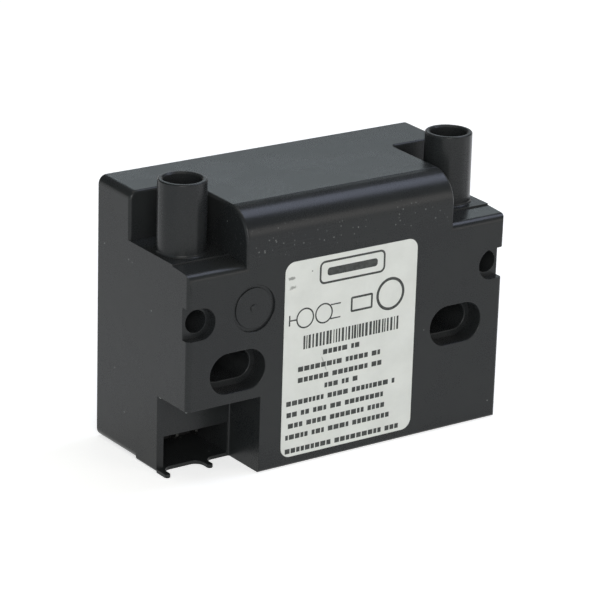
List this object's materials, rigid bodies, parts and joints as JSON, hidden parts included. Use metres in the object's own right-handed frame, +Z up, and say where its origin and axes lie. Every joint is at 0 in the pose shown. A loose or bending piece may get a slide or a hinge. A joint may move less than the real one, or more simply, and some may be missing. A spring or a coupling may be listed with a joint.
{
  "type": "ignition transformer",
  "caption": "Potted two-pole ignition transformer in a black moulded case with hollow high-voltage chimneys, screw holes, mounting slots and a connection recess.",
  "frame": {"origin": "middle of the case's bottom face", "axes": "+X along the case's width, -Y out of the labelled front face, +Z up along the chimneys"},
  "size_m": [0.097, 0.0421, 0.0753],
  "materials": {
    "case_plastic": "satin-gloss black moulding",
    "label_film": "satin white film",
    "resin": "cast black resin",
    "core_steel": "laminated",
    "bobbin_plastic": "moulded",
    "winding_copper": "enamelled copper wire",
    "insulation_tape": "polyester tape",
    "contact_brass": "turned",
    "lead_red": "silicone insulation",
    "terminal_plastic": "moulded",
    "tinned_brass": "tinned",
    "lead_brown": "insulation",
    "lead_blue": "insulation",
    "lead_green": "insulation"
  },
  "bodies": {
    "root": {"case": "case_plastic", "rating_label": "label_film", "potting_resin": "resin", "seal_coat": "resin", "core_e_stack": "core_steel", "core_i_stack": "core_steel", "shunt_left": "core_steel", "shunt_right": "core_steel", "primary_bobbin": "bobbin_plastic", "primary_winding": "winding_copper", "primary_wrap": "insulation_tape", "lower_secondary_bobbin": "bobbin_plastic", "lower_secondary_winding": "winding_copper", "upper_secondary_bobbin": "bobbin_plastic", "upper_secondary_winding": "winding_copper", "hv_contact_left": "contact_brass", "hv_contact_right": "contact_brass", "hv_lead_left": "lead_red", "hv_lead_right": "lead_red", "terminal_block": "terminal_plastic", "live_tab": "tinned_brass", "earth_tab": "tinned_brass", "neutral_tab": "tinned_brass", "live_lead": "lead_brown", "neutral_lead": "lead_blue", "earth_lead": "lead_green"}
  },
  "joints": []
}
